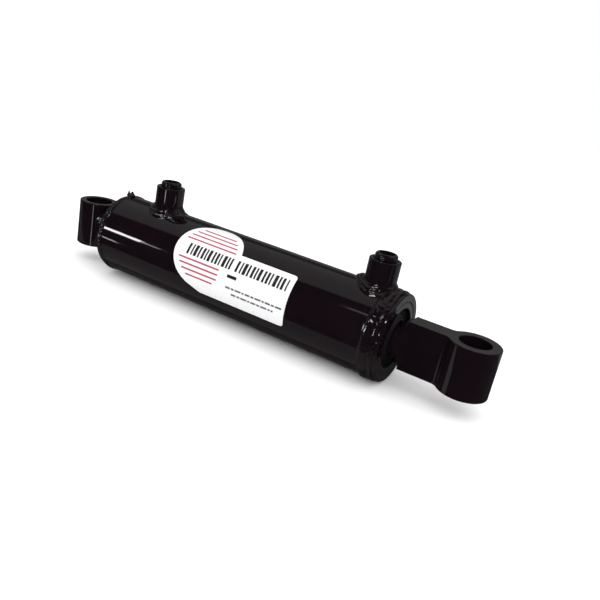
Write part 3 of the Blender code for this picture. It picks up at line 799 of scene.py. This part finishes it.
def gland():
    """The gland: its grooves hold the rod's seals, and its painted face shows round the rod."""
    nose, face = stations("gland")
    outer = half_size("gland", 1)
    nose_radius = outer - 4.5 * MM
    bore = ROD_RADIUS + 0.5 * MM
    corners = [(nose, bore, 0.4 * MM)]
    for node in ("rod_bearing", "rod_seal"):
        start, end = stations(node)
        floor = heights(node)[1] + CAD_GAP
        start -= CAD_GAP
        end += CAD_GAP
        corners += [(start, bore, 0), (start, floor, 0), (end, floor, 0), (end, bore, 0)]
    wiper_start = stations("rod_wiper")[0]
    mouth = heights("rod_wiper")[1] + CAD_GAP
    recess = wiper_start + 3.8 * MM
    corners += [
        (wiper_start - CAD_GAP, bore, 0),
        (wiper_start - CAD_GAP, mouth, 0),
        (recess, mouth, 0),
        (recess, mouth + 5.4 * MM, 0.3 * MM),
        (face, mouth + 5.8 * MM, 0.5 * MM),
        (face, outer, 0.6 * MM),
    ]
    ring_start = stations("gland_o_ring")[0] - 0.5 * MM
    ring_end = stations("gland_backup_ring")[1] + CAD_GAP
    floor = heights("gland_o_ring")[1] - 2.8 * MM
    corners += [
        (ring_end, outer, 0),
        (ring_end, floor, 0),
        (ring_start, floor, 0),
        (ring_start, outer, 0),
        (ring_start - 1.7 * MM, outer, 0),
        (ring_start - 2.3 * MM, nose_radius, 0.5 * MM),
        (nose, nose_radius, 0.8 * MM),
    ]
    mesh = turned(finely(rounded(corners), 2 * MM), 192)
    add_piece("gland", mesh, GLAND_ENAMEL)


def rod_wiper():
    start, end = stations("rod_wiper")
    inner = ROD_RADIUS + 0.15 * MM
    outer = heights("rod_wiper")[1]
    outline = rounded([
        (start, inner, 0.2 * MM),
        (end, inner, 0.1 * MM),
        (end + 0.1 * MM, inner + 0.7 * MM, 0.2 * MM),
        (start + 4.1 * MM, inner + 2.2 * MM, 0.4 * MM),
        (start + 3.5 * MM, outer, 0.3 * MM),
        (start, outer, 0.3 * MM),
    ])
    mesh = turned(outline, 128)
    add_piece("rod_wiper", mesh, PAINTED_RUBBER)


# ---------------------------------------------------------------- ports

THREAD_PITCH = 1.5875 * MM
THREAD_DEPTH = 0.6 * MM
THREAD_STEPS = 14


def thread(along, angle):
    """How deep a 60 degree thread cuts at each point, from 0 on its crest to 1 in its root."""
    turn = (along / THREAD_PITCH - angle / math.tau) % 1
    return np.clip(1.35 - np.abs(turn - 0.5) * 3.4, 0, 1)


def threaded(outline, start, end):
    """The outline with points close enough along its threaded stretch to draw the thread."""
    result = []
    following = outline[1:] + outline[:1]
    for a, b in zip(outline, following):
        result.append(a)
        level = abs(a[1] - b[1]) < SAME_PLACE
        within = min(a[0], b[0]) >= start - SAME_PLACE and max(a[0], b[0]) <= end + SAME_PLACE
        if level and within:
            count = math.ceil(abs(a[0] - b[0]) / (THREAD_PITCH / THREAD_STEPS))
            for k in range(1, count):
                result.append((a[0] + (b[0] - a[0]) * k / count, a[1]))
    return result


def seal_shelf(place):
    """The height of the step in a boss that the plug's ring lies on."""
    return heights(place + "_plug_seal")[0] - 0.35 * MM


def port_boss(place, station):
    """A turned boss that sinks into the barrel's wall, with a screw thread under its counterbore."""
    floor = heights(place + "_port_plug")[0] - 1.5 * MM
    shelf = seal_shelf(place)
    thread_end = shelf - 0.8 * MM
    bore = half_size(place + "_port_plug", 1) - 0.6 * MM
    counterbore = half_size(place + "_plug_seal", 1) + 0.4 * MM
    foot = BARREL_RADIUS - 4 * MM
    outline = rounded([
        (foot, OIL_HOLE_RADIUS, 0),
        (floor, OIL_HOLE_RADIUS, 0.3 * MM),
        (floor, bore, 0),
        (thread_end, bore, 0),
        (shelf, bore + 0.7 * MM, 0),
        (shelf, counterbore, 0),
        (BOSS_TOP, counterbore, 0.3 * MM),
        (BOSS_TOP, BOSS_RADIUS, 0.9 * MM),
        (foot, BOSS_RADIUS, 0),
    ])

    def relief(along, angle, radius):
        on_thread = np.abs(radius - bore) < HAIR
        fade = np.clip((along - floor) / THREAD_PITCH, 0, 1)
        return on_thread * fade * THREAD_DEPTH * (1 - thread(along, angle))

    outline = threaded(outline, floor, thread_end)
    mesh = turned(outline, 144, upright_at=station, relief=relief)
    add_piece(place + "_port_boss", mesh, ENAMEL)


def port_plug(place, station):
    """The hollow plug: a collar with two grooves above the boss, and its thread below."""
    low, high = heights(place + "_port_plug")
    head = half_size(place + "_port_plug", 1)
    body = head - 0.9 * MM
    neck = body - 0.8 * MM
    shelf = seal_shelf(place)
    under_head = BOSS_TOP + 0.1 * MM
    hollow = 6.5 * MM
    hollow_floor = low + 2.5 * MM
    groove_pitch = 1.55 * MM
    groove_depth = 0.22 * MM
    outline = rounded([
        (low, 0, 0),
        (low, body, 0.8 * MM),
        (shelf, body, 0),
        (shelf, neck, 0),
        (under_head, neck, 0),
        (under_head, head, 0.3 * MM),
        (high - 1.4 * MM, head, 0.4 * MM),
        (high, head - 1.3 * MM, 0.4 * MM),
        (high, hollow, 0.5 * MM),
        (hollow_floor, hollow, 1.0 * MM),
        (hollow_floor, 0, 0),
    ], closed=False)

    def relief(along, angle, radius):
        on_thread = (np.abs(radius - body) < HAIR) * (along < shelf + HAIR)
        fade = np.clip((along - low) / THREAD_PITCH, 0, 1)
        cut = on_thread * fade * THREAD_DEPTH * thread(along, angle)
        on_head = np.abs(radius - head) < HAIR
        grooves = np.sin((along - under_head) / groove_pitch * math.tau - math.pi / 2)
        return -cut - on_head * groove_depth * np.clip(grooves, 0, 1)

    outline = threaded(outline, low, shelf)
    outline = threaded(outline, under_head, high - 1.2 * MM)
    mesh = turned(outline, 144, upright_at=station, relief=relief)
    add_piece(place + "_port_plug", mesh, ENAMEL)


def plug_seal(place, station):
    name = place + "_plug_seal"
    cord = half_size(name, 2)
    ring = half_size(name, 1) - cord
    height = sum(heights(name)) / 2
    outline = [(height + cord * math.sin(a), ring + cord * math.cos(a)) for a in full_turn(24)]
    add_piece(name, turned(outline, 128, upright_at=station), RUBBER)


# ---------------------------------------------------------------- rod and rod eye

TANG_HALF_WIDTH = 9.6 * MM
TANG_FILLET = 6.5 * MM


def rod():
    """The rod: a spigot for the piston, threaded for its lock nut, and the ground length."""
    spigot = 12.7 * MM
    shoulder = stations("piston")[1] + CAD_GAP
    thread_end = stations("piston_lock_nut")[1] - 2 * MM
    end = ROD_END + 0.6 * MM
    outline = rounded([
        (ROD_TIP, 0, 0),
        (ROD_TIP, spigot, 1.2 * MM),
        (thread_end, spigot, 0),
        (shoulder, spigot, 0),
        (shoulder, ROD_RADIUS, 0.8 * MM),
        (end, ROD_RADIUS, 0.2 * MM),
        (end, 0, 0),
    ], closed=False)

    def relief(along, angle, radius):
        on_thread = (np.abs(radius - spigot) < HAIR) * (along < thread_end + HAIR)
        fade = np.clip((thread_end - along) / THREAD_PITCH, 0, 1)
        return -1.0 * on_thread * fade * THREAD_DEPTH * thread(along, angle)

    mesh = turned(threaded(outline, ROD_TIP, thread_end), 144, relief=relief)
    add_piece("rod", mesh, CHROME)


def eye_outline(inset):
    """The tang and round eye seen from above, drawn inset from their true edge, centred on the pin."""
    half = TANG_HALF_WIDTH - inset
    hollow = TANG_FILLET + inset
    radius = EYE_RADIUS - inset
    reach = TANG_HALF_WIDTH + TANG_FILLET
    back = math.sqrt((EYE_RADIUS + TANG_FILLET) ** 2 - reach**2)
    lean = math.atan2(reach, back)
    start = TANG_START - EYE_STATION + inset
    side = []
    for k in range(12):
        t = k / 12
        side.append((start * (1 - t) - back * t, half))
    for k in range(17):
        turn = -math.pi / 2 + (math.pi / 2 - lean) * k / 16
        side.append((-back + hollow * math.cos(turn), reach + hollow * math.sin(turn)))
    for k in range(1, 60):
        turn = (math.pi - lean) * (1 - k / 60)
        side.append((radius * math.cos(turn), radius * math.sin(turn)))
    nose = [(radius, 0)]
    other = [(x, -y) for x, y in reversed(side)]
    end = [(start, half * (1 - k / 4)) for k in range(7, 0, -1)]
    return np.array(side + nose + other + end)


def rod_eye():
    """Rows of outlines run down the eye's outside and back up its bore, with rounded edges between."""
    true_edge = eye_outline(0)
    lean = np.arctan2(true_edge[:, 1], true_edge[:, 0])
    bore_direction = np.stack([np.cos(lean), np.sin(lean)], axis=-1)
    quarter = [math.pi / 2 * k / ARC_STEPS for k in range(ARC_STEPS + 1)]
    upper_edge = [
        (PAINT_EDGE * (1 - math.sin(a)), EYE_HALF_HEIGHT - PAINT_EDGE * (1 - math.cos(a)))
        for a in quarter
    ]
    down = upper_edge + [(inset, -height) for inset, height in reversed(upper_edge)]
    rows = []
    for inset, height in down:
        flat = eye_outline(inset)
        rows.append(np.column_stack([flat, np.full(len(flat), height)]))
    for inset, height in reversed(down):
        flat = bore_direction * (PIN_BORE_RADIUS + inset)
        rows.append(np.column_stack([flat, np.full(len(flat), height)]))
    mesh = skin(np.array(rows))
    mesh.transform(Matrix.Translation((EYE_STATION, 0, 0)))
    add_piece("rod_eye", mesh, CUT_END_SHEEN_ENAMEL)


# ---------------------------------------------------------------- sticker

LABEL_START = stations("label")[0]
LABEL_END = stations("label")[1] - 1.3 * MM
LABEL_BOTTOM = -13.8 * MM
LABEL_TOP = 33.0 * MM
LABEL_CORNER = 3.0 * MM
DISC_RADIUS = 34.1 * MM
DISC_CENTRE = (LABEL_START + DISC_RADIUS + 0.7 * MM, 23.0 * MM)
DISC_LAST_TURN = math.radians(254.3)
VINYL_THICKNESS = 0.1 * MM
STROKES = (2.4, 1.6, 3.2, 1.9, 2.5, 1.7, 2.9, 2.1)
STROKE_GAPS = (2.1, 1.4, 1.4)
DASHES = (5.2, 3.1, 6.4, 2.3)


def label_outline():
    """A disc that runs into a bar with two rounded corners, as along and arc distances."""
    centre_along, centre_arc = DISC_CENTRE
    notch = math.asin((LABEL_TOP - centre_arc) / DISC_RADIUS)
    count = 90
    points = []
    for k in range(count + 1):
        turn = notch + (DISC_LAST_TURN - notch) * k / count
        along = centre_along + DISC_RADIUS * math.cos(turn)
        arc = centre_arc + DISC_RADIUS * math.sin(turn)
        if along < centre_along or arc > LABEL_TOP - 1 * MM:
            points.append((along, arc))
    points.append((centre_along + 2 * MM, LABEL_BOTTOM))
    corner_along = LABEL_END - LABEL_CORNER
    corners = (
        (LABEL_BOTTOM + LABEL_CORNER, -math.pi / 2),
        (LABEL_TOP - LABEL_CORNER, 0.0),
    )
    for corner_arc, first in corners:
        for k in range(7):
            turn = first + math.pi / 2 * k / 6
            along = corner_along + LABEL_CORNER * math.cos(turn)
            points.append((along, corner_arc + LABEL_CORNER * math.sin(turn)))
    return points


def row_of_marks(first, last, low, high, widths, gaps, colour):
    """Marks of changing width and spacing, in millimetres, that fill a row from first to last."""
    marks = []
    at = first
    number = 0
    while at < last - 1 * MM:
        width = widths[number % len(widths)] * MM
        marks.append((at, min(at + width, last), low, high, colour))
        at += width + gaps[number % len(gaps)] * MM
        number += 1
    return marks


def stripe(number, side):
    """One of the disc's stripes, which end a little inside its rim."""
    centre_along, centre_arc = DISC_CENTRE
    arc = 22 * MM + side * (9.5 + 4.6 * number) * MM
    rim = DISC_RADIUS - 5.5 * MM
    half = math.sqrt(max(rim**2 - (arc - centre_arc) ** 2, 0))
    reach = min(half, 19 * MM if side < 0 else half)
    return centre_along - half, centre_along + reach, arc, arc + 1.5 * MM, RED_INK


def printed_marks():
    """Boxes of print as (start, end, low, high, ink). Plain strokes, dashes and stripes only."""
    marks = []
    for first, last in ((147 * MM, 196 * MM), (201 * MM, 254 * MM)):
        marks += row_of_marks(first, last, 17.0 * MM, 27.6 * MM, STROKES, STROKE_GAPS, BLACK_INK)
    marks.append((196 * MM, 206 * MM, 10.2 * MM, 13.0 * MM, BLACK_INK))
    for first, last, low in ((197 * MM, 257 * MM, 1.0 * MM), (204 * MM, 248 * MM, -3.9 * MM)):
        marks += row_of_marks(first, last, low, low + 1.7 * MM, DASHES, (1.0,), GREY_INK)
    for number in range(4):
        for side in (-1, 1):
            marks.append(stripe(number, side))
    return marks


def label():
    """The sticker is cut along every print edge while flat, inked, and then rolled onto the barrel."""
    shape = bmesh.new()
    shape.faces.new([shape.verts.new((along, arc, 0)) for along, arc in label_outline()])
    marks = printed_marks()
    along_cuts = sorted({edge for mark in marks for edge in mark[:2]})
    arc_cuts = sorted({edge for mark in marks for edge in mark[2:4]})
    facets = np.arange(LABEL_BOTTOM, DISC_CENTRE[1] + DISC_RADIUS, 1.2 * MM).tolist()
    cuts = [((x, 0, 0), (1, 0, 0)) for x in along_cuts]
    cuts += [((0, y, 0), (0, 1, 0)) for y in arc_cuts + facets]
    for place, direction in cuts:
        bmesh.ops.bisect_plane(
            shape,
            geom=shape.verts[:] + shape.edges[:] + shape.faces[:],
            dist=1e-8,
            plane_co=place,
            plane_no=direction,
        )
    inks = [VINYL, BLACK_INK, GREY_INK, RED_INK]
    for face in shape.faces:
        centre = face.calc_center_median()
        for start, end, low, high, colour in marks:
            if start < centre.x < end and low < centre.y < high:
                face.material_index = inks.index(colour)
    bmesh.ops.recalc_face_normals(shape, faces=shape.faces)
    bmesh.ops.solidify(shape, geom=shape.faces[:], thickness=VINYL_THICKNESS)
    lowest = min(vert.co.z for vert in shape.verts)
    for vert in shape.verts:
        turn = vert.co.y / BARREL_RADIUS
        radius = BARREL_RADIUS + 0.02 * MM + vert.co.z - lowest
        vert.co = Vector((vert.co.x, -radius * math.cos(turn), radius * math.sin(turn)))
    bmesh.ops.recalc_face_normals(shape, faces=shape.faces)
    mesh = bpy.data.meshes.new("label")
    shape.to_mesh(mesh)
    shape.free()
    piece = add_piece("label", mesh, VINYL)
    for colour in inks[1:]:
        piece.data.materials.append(colour)


# ---------------------------------------------------------------- pieces that keep their CAD shape


def dress_carried_nodes():
    finishes = {
        "gland_o_ring": RUBBER,
        "gland_backup_ring": BEARING,
        "rod_bearing": BEARING,
        "rod_seal": RUBBER,
        "piston": IRON,
        "piston_o_ring": RUBBER,
        "piston_seal": BEARING,
        "piston_wear_ring_base": BEARING,
        "piston_wear_ring_head": BEARING,
        "piston_lock_nut": STEEL,
    }
    for name, finish in finishes.items():
        node = frame["nodes"][name]
        node.data.materials.clear()
        node.data.materials.append(finish)


# ---------------------------------------------------------------- floor, light and camera


def floor():
    """A pale floor for the eye and for soft bounced light. The gloss paint mirrors a card instead."""
    bpy.ops.mesh.primitive_plane_add(size=12, location=(0, 0, cad_bounds[0].z))
    plane = bpy.context.object
    plane.name = "floor"
    material, shader = new_material("pale_floor")
    tone = mix_colour(material, noise(material, 0.4, 2), (0.80, 0.80, 0.80), (0.84, 0.84, 0.84))
    feed(material, shader, Base_Color=tone, Roughness=1, Specular_IOR_Level=0)
    plane.data.materials.append(material)
    plane.visible_glossy = False


def only(*pieces):
    return "INCLUDE", pieces


def all_but(*pieces):
    return "EXCLUDE", pieces


TO_BACK = (math.pi / 2, 0, 0)
UPWARDS = (math.pi, 0, 0)
DOWNWARDS = (0, 0, 0)

PAPER = cad_bounds[0].z - HOME.z - 1 * MM
WALL = -0.551
RAIL = -0.460
SCREEN = -0.450
NEAR_EYE = -0.240

ROUND_PIECES = ("barrel_tube", "base_cap_weld", "head_end_weld", "head_collar")
PORT_WELDS = ("base_port_weld", "head_port_weld")
UPRIGHT_PIECES = ("base_cross_tube", "base_port_boss", "head_port_boss")
WINDOW_PIECES = ("barrel_tube", "base_cap_weld", "head_collar", *PORT_WELDS)
PAPER_PIECES = (*ROUND_PIECES, *PORT_WELDS, *UPRIGHT_PIECES)

# Every lamp's name, the axis it lies across and its place on that axis, its reach along the rod and
# along the third axis, in metres from HOME, its radiance, and the pieces that mirror it.
LAMPS = (
    ("front_paper", "z", PAPER, (-1.3, 1.7), (-0.083, -0.030), 0.17, only(*PAPER_PIECES)),
    ("shaded_paper", "z", PAPER, (-1.3, 1.7), (-0.030, 0.125), 0.03, all_but()),
    ("back_paper", "z", PAPER, (-1.3, 1.7), (0.125, 1.3), 0.26, all_but()),
    ("left_window", "y", WALL, (-0.62, -0.345), (0.095, 0.155), 20, only(*WINDOW_PIECES)),
    ("wide_window", "y", WALL, (-0.72, -0.26), (0.070, 0.250), 20, only("head_end_weld")),
    ("window_edge", "y", WALL, (-0.345, -0.295), (0.110, 0.140), 3.5, only("barrel_tube")),
    ("table_glint", "y", WALL, (-0.70, -0.410), (-0.165, -0.135), 7, only(*ROUND_PIECES)),
    ("upper_lamp", "y", RAIL, (0.13, 0.33), (0.480, 0.570), 12, all_but("rod_eye_weld", "rod_eye", "rod")),
    ("upper_glow", "y", RAIL, (0.05, 0.13), (0.485, 0.565), 0.9, only("barrel_tube")),
    ("tube_sliver", "y", SCREEN, (0.088, 0.12), (-0.170, -0.025), 3.5, only("base_cross_tube")),
    ("boss_sliver", "y", SCREEN, (0.092, 0.115), (-0.052, -0.025), 14, only("base_port_boss")),
    ("base_plug_sliver", "y", SCREEN, (-0.15, -0.04), (-0.08, 0.11), 4, only("base_port_plug")),
    ("head_plug_sliver", "y", SCREEN, (0.02, 0.14), (-0.20, -0.05), 4, only("head_port_plug")),
    ("weld_sliver", "y", SCREEN, (0.088, 0.12), (-0.170, -0.025), 14, only("base_port_weld")),
    ("weld_lamp", "y", SCREEN, (-0.66, -0.36), (1.14, 1.52), 20, only("base_port_weld")),
    ("start_lamp", "y", SCREEN, (-1.10, -0.99), (0.60, 0.68), 14, only("base_port_weld")),
    ("foot_lamp", "z", 0.50, (-0.22, -0.05), (-0.01, 0.13), 16, only("base_port_weld")),
    ("cap_lamp", "y", SCREEN, (-0.32, -0.10), (0.12, 0.20), 8, only("base_cap_weld", "base_tube_weld")),
    ("toe_lamp", "y", SCREEN, (-0.46, -0.30), (1.85, 2.05), 14, only("head_port_weld")),
    ("face_lamp", "y", SCREEN, (0.17, 0.32), (0.56, 0.66), 12, only("head_port_weld")),
    ("eye_sliver", "y", NEAR_EYE, (-0.20, 0.16), (-0.34, -0.135), 0.4, only("rod_eye")),
)


def card(name, axis, place, along, third, radiance):
    """A flat lamp that faces the cylinder and that only gloss surfaces mirror."""
    width = along[1] - along[0]
    height = third[1] - third[0]
    light = bpy.data.lights.new(name, "AREA")
    light.shape = "RECTANGLE"
    light.size = width
    light.size_y = height
    light.energy = radiance * math.pi * width * height
    lamp = bpy.data.objects.new(name, light)
    bpy.context.scene.collection.objects.link(lamp)
    if axis == "y":
        centre = (sum(along) / 2, place, sum(third) / 2)
        lamp.rotation_euler = TO_BACK
    else:
        centre = (sum(along) / 2, sum(third) / 2, place)
        lamp.rotation_euler = UPWARDS if place < 0 else DOWNWARDS
    lamp.location = HOME + Vector(centre)
    lamp.visible_camera = False
    lamp.visible_diffuse = False
    return lamp


def link_lamp(lamp, state, pieces):
    """Lets a lamp light only these pieces (INCLUDE), or every other piece (EXCLUDE)."""
    receivers = bpy.data.collections.new(lamp.name)
    for piece in pieces:
        receivers.objects.link(bpy.data.objects[piece + "_fine"])
    for member in receivers.collection_objects:
        member.light_linking.link_state = state
    lamp.light_linking.receiver_collection = receivers


def cards():
    """The studio that the gloss paint mirrors: paper under the cylinder, windows low at the left,
    a lamp up in front, and small lamps that each draw one highlight of the photo."""
    for name, axis, place, along, third, radiance, (state, pieces) in LAMPS:
        lamp = card(name, axis, place, along, third, radiance)
        if pieces:
            link_lamp(lamp, state, pieces)


PALE_SIDE = Vector((-0.255, 0.944, 0.210))
PALE_SIDE_BLUR = 0.012
ROOM_GREYS = (
    (0.0, 0.02),
    (0.01, 0.20),
    (0.28, 0.16),
    (0.33, 0.06),
    (0.49, 0.06),
    (0.60, 0.28),
    (1.0, 0.38),
)
BRIGHT_SIDE = Vector((0.45, -0.62, 0.64))
DIM_SKY = 0.64
BRIGHT_SKY = 2.7


def gloss_room(world, direction):
    """The room that gloss paint mirrors: black towards the camera, and behind the cylinder a grey
    that changes with height."""
    turned_away = calculate_vector(world, "DOT_PRODUCT", direction, PALE_SIDE)
    behind = spread(world, turned_away, 0, 1, -PALE_SIDE_BLUR, PALE_SIDE_BLUR)
    height = add_node(world, "ShaderNodeSeparateXYZ", Vector=direction).outputs["Z"]
    ramp = add_node(world, "ShaderNodeValToRGB", Fac=height)
    stops = ramp.color_ramp.elements
    stops.remove(stops[1])
    stops[0].color = (*[ROOM_GREYS[0][1]] * 3, 1)
    for position, grey in ROOM_GREYS[1:]:
        stops.new(position).color = (grey, grey, grey, 1)
    return calculate(world, "MULTIPLY", behind, ramp.outputs["Color"])


def soft_sky(world, direction):
    """The even light on matt surfaces, stronger from one side so that the shadow falls to the other."""
    towards = calculate_vector(world, "DOT_PRODUCT", direction, BRIGHT_SIDE)
    return spread(world, towards, DIM_SKY, BRIGHT_SKY, -0.3, 1)


def world_light():
    """Soft light on matt surfaces, a dark room in the gloss paint, and white behind the object."""
    world = bpy.data.worlds.new("studio")
    bpy.context.scene.world = world
    world.use_nodes = True
    direction = add_node(world, "ShaderNodeTexCoord").outputs["Generated"]
    ray = add_node(world, "ShaderNodeLightPath").outputs
    room = gloss_room(world, direction)
    lit = mix_value(world, ray["Is Diffuse Ray"], room, soft_sky(world, direction))
    seen = mix_value(world, ray["Is Camera Ray"], lit, 1.0)
    feed(world, world.node_tree.nodes["Background"], Color=seen)


CAMERA_PLACE = Vector((294.565, -484.728, 231.504)) * MM
HEADING = math.radians(27.93)
PITCH = math.radians(-20.03)
ROLL = math.radians(11.53)
LENS = 39.415
SHIFT_RIGHT = 0.01841
SHIFT_UP = 0.00972


def camera():
    """The lens axis lies a little off the middle of the picture, as in a cropped print."""
    data = bpy.data.cameras.new("camera")
    data.lens = LENS
    data.shift_x = SHIFT_RIGHT
    data.shift_y = SHIFT_UP
    data.clip_start = 0.01
    obj = bpy.data.objects.new("camera", data)
    bpy.context.scene.collection.objects.link(obj)
    turn = Matrix.Rotation(HEADING, 4, "Z")
    tip = Matrix.Rotation(math.pi / 2 + PITCH, 4, "X")
    roll = Matrix.Rotation(ROLL, 4, "Z")
    obj.matrix_world = Matrix.Translation(CAMERA_PLACE) @ turn @ tip @ roll
    bpy.context.scene.camera = obj
    bpy.context.scene.view_settings.view_transform = "Standard"


# ---------------------------------------------------------------- assembly

base_cross_tube()
base_end_cap()
base_tube_weld()
base_cap_weld()
barrel_tube()
head_collar()
head_end_weld()
gland()
rod_wiper()
for place, station in PORT_STATIONS.items():
    port_boss(place, station)
    port_weld(place, station)
    port_plug(place, station)
    plug_seal(place, station)
rod()
rod_eye()
rod_eye_weld()
label()
dress_carried_nodes()

floor()
cards()
world_light()
camera()
